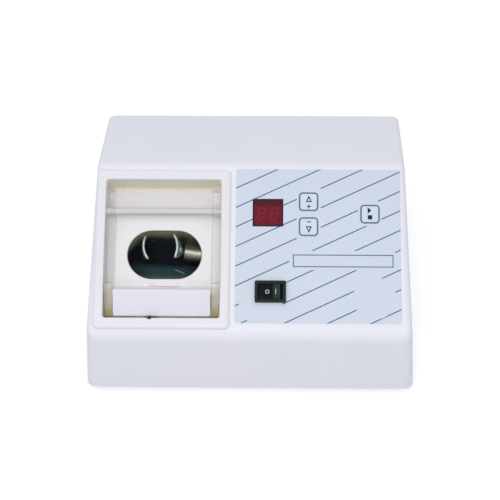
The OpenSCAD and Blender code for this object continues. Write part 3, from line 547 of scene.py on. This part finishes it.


# Mixing fork
# A turned steel hub runs on two bearings on the inclined crank pin. A screw holds the fork to its face: one
# strip, painted near black for the shade it lies in, and two bowed and twisted prongs of spring steel,
# painted pale mint for their sheen and the cup's green reflection. Each prong has a hole that takes an end
# of the capsule.

# The fork's frame: x to the right along the hub's axis and z out of the deck.
fork = deck @ Matrix.Translation((-38, 65, -34)) @ Matrix.Rotation(-radians(7), 4, "Z")
strip_t, strip_half, strip_top, flange_x, flange_r = 1.2, 7.5, -9.5, -9.0, 8.5
prong_half, prong_top, bow_r, bow_angle, capsule_r, hub_trim = 8.5, 8.0, 16.0, 0.56, 2.6, 2.0


def prong(side, foot_x, turn, lean, twist, taper):
    """A prong that bulges to its side: its narrower foot is turned, and its tip leans and is twisted."""
    middle, root = foot_x - side * bow_r, strip_top - 0.4
    piece = block("prong", (foot_x - strip_t / 2, -0.05, root), (foot_x + strip_t / 2, 0.05, prong_top))
    for way in (-1, 1):
        pick("FACE", lambda centre, normal: normal.y * way > 0.9 and abs(centre.y) < 0.1)
        bpy.ops.mesh.spin(steps=14, angle=-side * way * bow_angle, center=(middle, 0, 0), axis=(0, 0, 1))
    # The bowed sheet is cut to a blank with rounded upper corners and one tapered side.
    blank = block("blank", (foot_x - 8, -prong_half, root), (foot_x + 8, prong_half, prong_top))
    round_edges(3.0, 8, lambda a, b: abs(a.x - b.x) > 1 and min(a.z, b.z) > 0)
    pick("VERT", lambda p: p.z < 0 and p.y < 0)
    bpy.ops.transform.translate(value=(0, taper, 0))
    carve(piece, blank, how="INTERSECT")
    carve(piece, bar("capsule_hole", capsule_r, (foot_x - 8, 0, 0), (foot_x + 8, 0, 0)))
    alone(piece)
    bpy.ops.object.mode_set(mode="EDIT")
    for height in range(-8, 8, 2):
        bpy.ops.mesh.select_all(action="SELECT")
        bpy.ops.mesh.bisect(plane_co=(0, 0, height), plane_no=(0, 0, 1))
    bpy.ops.object.mode_set(mode="OBJECT")
    # It turns about a point between its bow and its capsule hole's axis.
    pivot = Vector((foot_x - side * 2.4, 0, 0))
    for corner in piece.data.vertices:
        share = max(0, corner.co.z - strip_top) / (prong_top - strip_top)
        turned_by = Matrix.Rotation(radians(turn + twist * share), 3, "Z")
        corner.co = pivot + turned_by @ (corner.co - pivot) + Vector(lean) * share
    return piece


strip = block("fork_strip", (-39.4, -strip_half, strip_top - strip_t),
              (flange_x + strip_t, strip_half, strip_top))
flange = block("flange", (flange_x, -flange_r, strip_top - strip_t), (flange_x + strip_t, flange_r, 0))
carve(strip, flange, bar("flange_head", flange_r, (flange_x, 0, 0), (flange_x + strip_t, 0, 0)),
      prong(-1, -38.6, 11, (2.0, -1.8, 0), 3, 4.4), prong(1, -10.4, 2, (-3.2, 2.3, 0), 11, 8.5), how="UNION")
carve(strip, bar("screw_hole", 1.9, (flange_x - 2, 0, 0), (flange_x + 3, 0, 0), 32))
use(strip, "BEVEL", width=0.25, segments=2, limit_method="ANGLE", angle_limit=radians(50))
place(strip, to_metres @ fork)

# The strip is painted near black for the shade it lies in at the bottom of the cup.
strip_shade, shader, where = finish("strip_painted_shade", colour(8, 9, 18), 0.4, Specular_IOR_Level=0.05)
uneven(shader, where, 4, colour(8, 9, 18), colour(17, 21, 32), 0.34, 0.5)
# The prongs are painted pale mint with streaks: a painted sheen and the cup's reflected green.
prong_sheen, shader, where = finish("spring_steel_painted_sheen", colour(214, 236, 224), 0.36, Metallic=0.1)
streaks = where.noise(1.6, detail=4)
streaks.between(0.3, 0.7).mix(colour(186, 216, 200), colour(236, 250, 242)).feed(shader, "Base Color")
(streaks * 0.2 + 0.26).feed(shader, "Roughness")
dress(strip, "fork", strip_shade)
strip.data.materials.append(prong_sheen)
for face in strip.data.polygons:
    spot = fork.inverted() @ (face.center * 1000)
    if spot.z > strip_top + 0.3 and spot.x < flange_x - 0.3:
        face.material_index = 1
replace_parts(strip, "fork_frame")

turned, shader, where = finish("turned_steel", colour(150, 147, 134), 0.28, Metallic=1.0)
rings = where.stretch(1, 0.05, 0.05).noise(0.35, detail=3)
rings.mix(colour(104, 103, 92), colour(144, 142, 130)).feed(shader, "Base Color")
(rings * 0.1 + 0.27).feed(shader, "Roughness")
rings.node("Bump", {}, {"Strength": 0.3, "Distance": 0.00001, "Height": rings}).feed(shader, "Normal")
hub = soften("fork_hub", turned, 0.5, 3)
screw = soften("fork_screw", zinc, 0.3)
# The hub's face is moved to the flange's inner side, and the screw's head moves with it.
for piece in (hub, screw):
    for corner in piece.data.vertices:
        spot = fork.inverted() @ (corner.co * 1000)
        if spot.x < flange_x + 0.2:
            corner.co = (fork @ (spot + Vector((hub_trim, 0, 0)))) / 1000


# Cover
# Clear cast acrylic, 3 mm thick: one bent sheet with a flat top and a sloping front facet, glued between two
# thick side walls. A bare white film lies on the facet, and two yellowed blocks stand in the front corners.

cover_w, side_t, cover_top, sheet_t = recess_w - 1.2, 5.4, 3.8, 3.0
cover_left, cover_right = chamber_u - cover_w / 2, chamber_u + cover_w / 2
fold_v, facet_v, facet_slope, bend_r = 33.6, recess_v + 2.3, radians(25), 7.0
bend_v = fold_v + bend_r * tan(facet_slope / 2)
facet_l = (fold_v - facet_v) / cos(facet_slope) - bend_r * tan(facet_slope / 2)
tail_l = 15
sheet_low, cover_back = cover_top - sheet_t, rod_v + tail_l
facet_left, facet_right = cover_left + side_t + 0.1, cover_right - side_t - 0.1

sheet = block("cover_sheet_clear", (facet_left, bend_v, sheet_low), (facet_right, bend_v + 9, cover_top))
pick("FACE", lambda middle, normal: normal.y < -0.9)
bpy.ops.mesh.spin(steps=10, angle=-facet_slope, center=(0, bend_v, cover_top - bend_r), axis=(1, 0, 0))
# The facet is drawn out too long, and its end is shaved upright.
drawn_l = facet_l + 3
bpy.ops.mesh.extrude_region_move(TRANSFORM_OT_translate={
    "value": (0, -drawn_l * cos(facet_slope), -drawn_l * sin(facet_slope))})
shave((0, facet_v, 0), (0, -1, 0))
carve(sheet, block("sheet_top", (cover_left, bend_v, sheet_low), (cover_right, cover_back, cover_top)),
      how="UNION")
use(sheet, "BEVEL", width=0.35, segments=3, limit_method="ANGLE", angle_limit=radians(40))
place(sheet, to_metres @ deck)

# The clear faces only mirror, and one fine dark line across the bend is a painted reflection of the oval
# hole's edge.
acrylic, shader, where = finish("clear_acrylic", colour(236, 238, 238), 0.04, Metallic=1.0)
mirrored = Shade(shader.outputs[0]).node("Fresnel", {}, {"IOR": 1.16})
at = on_deck(shader)
# The painted reflection is dark brown, less metallic, rougher and less clear than the rest.
reflection_u, reflection_v, reflection_bow = -52, 32.4, 0.0035
across = at.part("X") - reflection_u
edge_reflection = abs(at.part("Y") - across * across * reflection_bow - reflection_v).between(0.4, 0.15)
edge_reflection = edge_reflection * abs(across + 5.5).between(13, 9) * at.part("Z").between(2.0, 2.2) * 0.75
edge_reflection.mix(colour(236, 238, 238), colour(60, 50, 44)).feed(shader, "Base Color")
(mirrored + where.noise(12) * 0.01 + edge_reflection).feed(shader, "Alpha")
(edge_reflection * -1.3 + 1).feed(shader, "Metallic")
(where.noise(9, detail=3) * 0.05 + 0.01 + edge_reflection * 0.7).feed(shader, "Roughness")

edge_acrylic, shader, where = finish("edge_acrylic", colour(226, 221, 200), 0.12)
mirrored = Shade(shader.outputs[0]).node("Fresnel", {}, {"IOR": 1.49})
# The edges are painted pale for light carried through the acrylic. Towards the front and its corners they
# turn darker yellow-olive.
along = on_deck(shader).part("Y") + where.noise(4) * 2 - 1
lower, corner = along.between(34, 30), along.between(22, 19.5)
corner.mix(lower.mix(colour(230, 227, 212), colour(206, 192, 152)),
           colour(172, 164, 106)).feed(shader, "Base Color")
(mirrored * 0.5 + lower * 0.2 + corner * 0.3 + where.noise(3) * 0.06 + 0.01).feed(shader, "Alpha")
(where.noise(5, detail=3) * 0.1 + 0.02).feed(shader, "Roughness")
dress(sheet, "cover", acrylic)
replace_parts(sheet, "cover_sheet")
walls = [soften(node, acrylic, 0.45, 3) for node in ("cover_side_left", "cover_side_right")]
# Light that enters a face leaves through the edges: the edges get a pale painted glow, and no dark shadow
# is cast.
for piece in (sheet, *walls):
    piece.visible_shadow = False
    piece.data.materials.append(edge_acrylic)
    for face in piece.data.polygons:
        out = deck.to_3x3().transposed() @ face.normal
        on_front = piece is not sheet and (deck.inverted() @ (face.center * 1000)).y < fold_v
        if abs(out.y) > 0.7 or abs(out.x) > 0.5 or on_front:
            face.material_index = 1

yellowed, shader, where = finish("yellowed_glue_block", colour(196, 190, 132), 0.35)
uneven(shader, where, 3, colour(196, 190, 132), colour(168, 160, 104), 0.3, 0.5)
soften("cover_corner_blocks", yellowed, 0.5, 3)

facet = deck @ Matrix.Translation((0, fold_v, cover_top)) @ Matrix.Rotation(facet_slope, 4, "X")
film = block("facet_film", (facet_left + 0.3, -facet_l - 1.0, 0.01), (facet_right - 0.3, -3.2, 0.12))
round_edges(1.0, 4, upright)
place(film, to_metres @ facet)
film_white, shader, where = finish("film_white", colour(242, 242, 250), 0.3, Alpha=0.86)
uneven(shader, where, 20, colour(242, 242, 250), colour(238, 239, 248), 0.26, 0.36)
dress(film, "cover", film_white)


# Hinge rod and release plunger
# The cover turns on a pale grey rod in the tray's side walls. The small black plunger at the recess's
# lower edge is pushed by the closed cover and works the switch under it.

rod_grey, shader, where = finish("rod_grey", colour(222, 221, 219), 0.5)
where.stretch(0.1, 1, 1).noise(2).mix(colour(226, 225, 223), colour(218, 217, 215)).feed(shader, "Base Color")
(where.stretch(0.05, 1, 1).noise(0.5, detail=3) * 0.16 + 0.42).feed(shader, "Roughness")
soften("hinge_rod", rod_grey, 0.4, 3)
stem_size, stem_low, nose_size, nose_top = (3.4, 2.7), -9, (2.3, 2.5), 1.8
plunger = slab("release_plunger_finished", (plunger_u, plunger_v), stem_size, stem_low, nose_n)
carve(plunger, slab("nose", (plunger_u, plunger_v), nose_size, nose_n - 1, nose_top), how="UNION")
use(plunger, "BEVEL", width=0.25, segments=3, limit_method="ANGLE", angle_limit=radians(40))
place(plunger, to_metres @ deck)
dress(plunger, frame["nodes"]["release_plunger"]["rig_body"], black)
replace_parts(plunger, "release_plunger")


# Panel overlay
# A pale printed film, 0.4 mm thick, glued on the deck, with cut-outs for the display, keys and switch. Thin
# slanting blue lines run over it and stop short of the keys and of the bare places. Its empty title box is
# an outline of the same blue.

film_pale, line_blue = colour(213, 219, 231), colour(2, 112, 146)
line_step, line_rise, line_start, line_half = 13.725, 0.4755, 107.15, 0.375
line_lean, box_half = cos(atan2(line_rise, 1)), 0.33
# Middle and half size, in u and v, of each place that the lines leave free.
clear_boxes = [((39.75, 84.75), (8.15, 18.0)), ((81.1, 84.75), (8.0, 8.75)), ((62.35, 51.9), (35.75, 6.65)),
               ((10.3, 16.0), (11.8, 6.0))]
clear_discs = [((83.9, 26), 14.6), ((0.5, 18.6), 8.1)]
title_box = ((62.95, 51.55), (33.55, 4.05))
soft_edge = 0.07


def off_box(u, v, middle, half):
    """Distance outside a rectangle, negative inside it."""
    return (abs(u - middle[0]) - half[0]).most(abs(v - middle[1]) - half[1])


def from_point(u, v, middle):
    """Distance from a place."""
    side, rise = u - middle[0], v - middle[1]
    return (side * side + rise * rise).maths("SQRT", side * side + rise * rise)


def drawn(distance, half):
    """1 on a line of this half width, 0 beside it, with an edge as soft as print."""
    return abs(distance).between(half + soft_edge, half - soft_edge)


def print_film(name):
    """The film's bare material, with its u and v."""
    material, shader, where = finish(name, film_pale, 0.34, Coat_Weight=0.25)
    at = on_deck(shader)
    return material, shader, where, at.part("X"), at.part("Y")


overlay, shader, where, u, v = print_film("overlay_film")
steps = (v - u * line_rise - line_start) * (1 / line_step)
lines = drawn((steps - steps.maths("ROUND", steps)) * (line_step * line_lean), line_half)
for middle, half in clear_boxes:
    lines = lines * off_box(u, v, middle, half).between(-0.05, 0.05)
for middle, radius in clear_discs:
    lines = lines * (from_point(u, v, middle) - radius).between(-0.05, 0.05)
blue = lines.most(drawn(off_box(u, v, *title_box), box_half))
ground_tone = where.noise(45).mix(colour(214, 220, 232), colour(210, 217, 229))
blue.mix(ground_tone, line_blue).feed(shader, "Base Color")
(where.noise(12, detail=3) * 0.08 + 0.3).feed(shader, "Roughness")
soften("panel_overlay", overlay, 0.1, 1)


# Flat keys
# Three square keys of the same film over moulded pads, each with a blue ring near its edge. A plus and a
# triangle raise the time, a minus and a triangle lower it, and a triangle over a square starts and stops.

ring_in, ring_half, ring_r = 0.42, 0.35, 2.5
sign_ink, sign_shift, stroke_half, stroke_l = colour(28, 28, 40), 0.2, 0.32, 1.5


def off_triangle(u, v, middle, half_w, half_h, way):
    """Distance outside a triangle that points up the deck, or down it where way is -1."""
    lean = sqrt(half_w ** 2 + (2 * half_h) ** 2)
    rise = (v - middle[1]) * way
    side = (abs(u - middle[0]) * (2 * half_h) + (rise - half_h) * half_w) * (1 / lean)
    return side.most(-half_h - rise)


def key_signs(node, u, v, at):
    """Where a key is inked: a filled triangle over a square, or an open triangle with a plus or a minus."""
    if node == "key_start_stop":
        play_left, play_tip, play_v, play_l, play_half, stop_v = -1.6, 1.0, 2.6, 1.9, 1.7, -2.2
        side = abs(v - at[1] - play_v) * play_l + (u - at[0] - play_tip) * play_half
        play = (side * (1 / sqrt(play_l ** 2 + play_half ** 2))).most(at[0] + play_left - u)
        stop = off_box(u, v, (at[0], at[1] + stop_v), (stroke_l, stroke_l))
        return play.least(stop).between(soft_edge, -soft_edge)
    way = 1 if node == "key_up" else -1
    arrow_v, arrow_half_w, arrow_half_h, arrow_line, stroke_v = 2.1, 2.1, 2.4, 0.36, 3.4
    sign_u = at[0] + sign_shift
    arrow = off_triangle(u, v, (sign_u, at[1] + way * arrow_v), arrow_half_w, arrow_half_h, way)
    stroke = off_box(u, v, (sign_u, at[1] - way * stroke_v), (stroke_l, stroke_half))
    if way > 0:
        stroke = stroke.least(off_box(u, v, (sign_u, at[1] - stroke_v), (stroke_half, stroke_l)))
    return drawn(arrow + arrow_line, arrow_line).most(stroke.between(soft_edge, -soft_edge))


for node, at in key_spots.items():
    key_film, shader, where, u, v = print_film(node + "_film")
    across, along = (abs(u - at[0]) - (key_s / 2 - ring_r)), (abs(v - at[1]) - (key_s / 2 - ring_r))
    outer = from_point(across.most(0.0), along.most(0.0), (0, 0)) + across.most(along).least(0.0) - ring_r
    ring = drawn(outer + ring_in, ring_half)
    tone = where.noise(30).mix(colour(216, 225, 238), colour(212, 221, 235))
    inked = key_signs(node, u, v, at).mix(tone, sign_ink)
    ring.mix(inked, line_blue).feed(shader, "Base Color")
    soften(node, key_film, 0.12, 2)


# Display
# Two red seven-segment digits, unlit, on a dark module that stands on the control board. A dark red acrylic
# filter covers it, flush with the overlay.

digit_w, digit_h, bar_w, bar_t, digit_lean = 5.2, 9.2, 1.15, 0.12, radians(7)
digit_mids = (display_u - 4.7, display_u + 4.4)
digit_v, face_n = 84.8, -1.1


def segment(middle, length, turned_up):
    """One bar of a digit: a flat six-sided bar with pointed ends."""
    piece = bar("segment", bar_w / 2, (0, 0, 0), (0, 0, bar_t), 6)
    for way in (-1, 1):
        pick("VERT", lambda p: p.y * way > 0.01)
        bpy.ops.transform.translate(value=(0, way * (length - bar_w) / 2, 0))
    angle = -digit_lean if turned_up else pi / 2
    return place(piece, Matrix.Translation((*middle, 0)) @ Matrix.Rotation(angle, 4, "Z"))


bars = []
for rise in (-1, 0, 1):
    shift = rise * digit_h / 2 * tan(digit_lean)
    bars.append(segment((shift, rise * (digit_h - bar_w) / 2), digit_w - bar_w, False))
for rise in (-0.5, 0.5):
    for side in (-1, 1):
        shift = side * (digit_w - bar_w) / 2 + rise * digit_h / 2 * tan(digit_lean)
        bars.append(segment((shift, rise * (digit_h - bar_w) / 2), digit_h / 2 - bar_w * 0.7, True))
digit = bars[0]
bpy.ops.object.select_all(action="DESELECT")
for piece in bars:
    piece.select_set(True)
bpy.context.view_layer.objects.active = digit
bpy.ops.object.join()
digits = [digit, digit.copy()]
digits[1].data = digit.data.copy()
bpy.context.scene.collection.objects.link(digits[1])
red_segment, shader, where = finish("red_segment", colour(214, 70, 84), 0.4)
uneven(shader, where, 2, colour(214, 70, 84), colour(196, 56, 72), 0.35, 0.5)
for name, piece, middle in zip(("digit_tens", "digit_units"), digits, digit_mids):
    piece.name = piece.data.name = name
    place(piece, to_metres @ deck @ Matrix.Translation((middle, digit_v, face_n - 0.02)))
    dress(piece, "housing", red_segment)

module_face, shader, where = finish("module_grey", colour(120, 70, 74), 0.5)
uneven(shader, where, 5, colour(120, 70, 74), colour(110, 62, 66), 0.45, 0.6)
soften("display_module", module_face, 0.2)

filter_red, shader, where = finish("red_filter", colour(128, 30, 42), 0.12, Alpha=0.62)
at = on_deck(shader)
edge = off_box(at.part("X"), at.part("Y"), (display_u, display_v), (display_w / 2, display_l / 2))
rim = edge.between(-1.15, -0.75)
top = at.part("Y").between(display_v + 4.6, display_v + 5.4)
pane = where.noise(6).mix(top.mix(colour(142, 38, 54), colour(108, 40, 36)),
                          top.mix(colour(124, 32, 48), colour(92, 36, 38)))
rim.mix(pane, colour(38, 40, 54)).feed(shader, "Base Color")
(rim * 0.36 + 0.62).feed(shader, "Alpha")
soften("display_window", filter_red, 0.15, 2)


# Rocker switch
# A black snap-in switch with a bevelled bezel. The rocker's right half stands up in the off position, and the
# circle and the bar that mark off and on are printed on it in white.

switch_black, shader, where = finish("switch_black", colour(18, 30, 34), 0.4, Specular_IOR_Level=0.3)
uneven(shader, where, 6, colour(18, 30, 34), colour(24, 36, 40), 0.34, 0.48)
grain(shader, where, 0.25, 0.012)
soften("switch_body", switch_black, 0.55, 4)
rocker_black, shader, where = finish("rocker_black", colour(10, 11, 18), 0.24, Specular_IOR_Level=0.4)
# The right half is painted lighter grey-green for the room it reflects. The rest is near black.
right_half_sheen = on_deck(shader).part("X").between(switch_u + 1.4, switch_u + 2.6)
plain = where.noise(5).mix(colour(6, 6, 13), colour(14, 15, 22))
right_half_sheen.mix(plain, colour(46, 58, 54)).feed(shader, "Base Color")
(where.noise(2, detail=4) * 0.1 + 0.2).feed(shader, "Roughness")
soften("switch_rocker", rocker_black, 0.4, 3)

# The rocker's frame: its axle along y, x to the right and z out of the deck before the tilt.
axle_n, rocker_half, rocker_top, rocker_dip, rocker_tilt = -2.2, 7.3, 4.4, 1.0, radians(9)
rocker = deck @ Matrix.Translation((switch_u, switch_v, axle_n)) @ Matrix.Rotation(-rocker_tilt, 4, "Y")
wing = atan2(rocker_dip, rocker_half)
print_white, shader, where = finish("print_white", colour(196, 208, 208), 0.45)
uneven(shader, where, 0.8, colour(196, 208, 208), colour(178, 190, 192), 0.4, 0.55)


def on_wing(side, out):
    """The frame of one half of the rocker's top, at a distance from the middle line."""
    return (rocker @ Matrix.Translation((side * out, 0, rocker_top - rocker_dip + out * tan(wing)))
            @ Matrix.Rotation(-side * wing, 4, "Y"))


off_r, off_inner_r, on_size, print_t, print_lift = 1.4, 0.9, (0.48, 3.7), 0.08, 0.03
off_mark = bar("off_mark", off_r, (0, 0, 0), (0, 0, print_t), 40)
carve(off_mark, bar("off_inside", off_inner_r, (0, 0, -1), (0, 0, 1), 40))
on_mark = slab("on_mark", (0, 0), on_size, 0, print_t)
round_edges(0.2, 3, upright)
for mark, side, out in ((off_mark, -1, 1.5), (on_mark, 1, 4.4)):
    place(mark, to_metres @ on_wing(side, out) @ Matrix.Translation((0, 0, print_lift)))
    dress(mark, "switch_rocker", print_white)


# Mains inlet and fuse holder
# On the back wall: a black three-pole inlet with nickel-plated blades, and a fuse holder whose slotted cap
# turns out with a coin. Both are black moulded plastic.

soften("mains_inlet", black, 0.5, 3)
soften("inlet_blades", blades, 0.2)
soften("fuse_holder", black, 0.4, 3)
soften("fuse_cap", black, 0.3)


# Studio
# A pale paper floor that keeps the object's shadow, a plain room that is dimmer near its horizon, and one
# broad soft lamp above the front. What the camera, a mirror or clear acrylic sees of both is white.

floor = block("floor", (-2500, -2500, -2), (2500, 2500, 0))
place(floor, to_metres)
paper, shader, where = finish("floor_paper", colour(200, 201, 204), 0.9, Emission_Strength=0.55)


def seen_ray(ray):
    """1 for a camera, glossy or transmission ray, 0 for a ray that only lights the object."""
    return ray.node("LightPath", out=0).most(ray.node("LightPath", out=3)).most(ray.node("LightPath", out=6))


unlit, full = (0, 0, 0, 1), (1, 1, 1, 1)
seen_ray(Shade(shader.outputs[0])).mix(unlit, full).feed(shader, "Emission Color")
floor.data.materials.append(paper)

world = bpy.data.worlds.new("room")
bpy.context.scene.world = world
world.use_nodes = True
sky = world.node_tree.nodes["Background"]
ray = Shade(sky.outputs[0])
height = ray.node("TexCoord", out=0).part("Z")
# Glossy pieces mirror a dark ceiling over white walls.
ceiling = height.between(0.45, 0.8) * ray.node("LightPath", out=3)
horizon, zenith, dark_ceiling = (0.385, 0.395, 0.43, 1), (0.83, 0.85, 0.9, 1), (0.12, 0.12, 0.13, 1)
dome = height.between(0.0, 0.9).mix(horizon, zenith)
ceiling.mix(seen_ray(ray).mix(dome, full), dark_ceiling).feed(sky, "Color")

lamp = bpy.data.lights.new("softbox", "AREA")
lamp.shape, lamp.size, lamp.size_y, lamp.energy = "RECTANGLE", 1.0, 0.6, 9.6
holder = bpy.data.objects.new("softbox", lamp)
bpy.context.scene.collection.objects.link(holder)
lamp.color = (1.0, 0.975, 0.95)
holder.location = (-0.14, -1.18, 1.24)
holder.rotation_euler = (Vector((0, 0, 0.05)) - holder.location).to_track_quat("-Z", "Y").to_euler()

# The camera stands where the photographer stood: over the front, a little to the right, and not quite level.
target = Vector((-1.01, -11.42, 50.57)) / 1000
turn, rise, roll, distance = radians(1.68), radians(42.71), radians(-0.84), 1.1
back_way = Vector((sin(turn) * cos(rise), -cos(turn) * cos(rise), sin(rise)))
right_way = Vector((cos(turn), sin(turn), 0))
up_way = back_way.cross(right_way)
lens = bpy.data.cameras.new("camera")
lens.sensor_width, lens.lens, lens.clip_start, lens.clip_end = 36, 111.83, 0.05, 20
camera = bpy.data.objects.new("camera", lens)
bpy.context.scene.collection.objects.link(camera)
axes = Matrix((right_way * cos(roll) + up_way * sin(roll), up_way * cos(roll) - right_way * sin(roll),
               back_way)).transposed()
camera.matrix_world = Matrix.Translation(target + back_way * distance) @ axes.to_4x4()
bpy.context.scene.camera = camera
bpy.context.scene.view_settings.view_transform = "Standard"
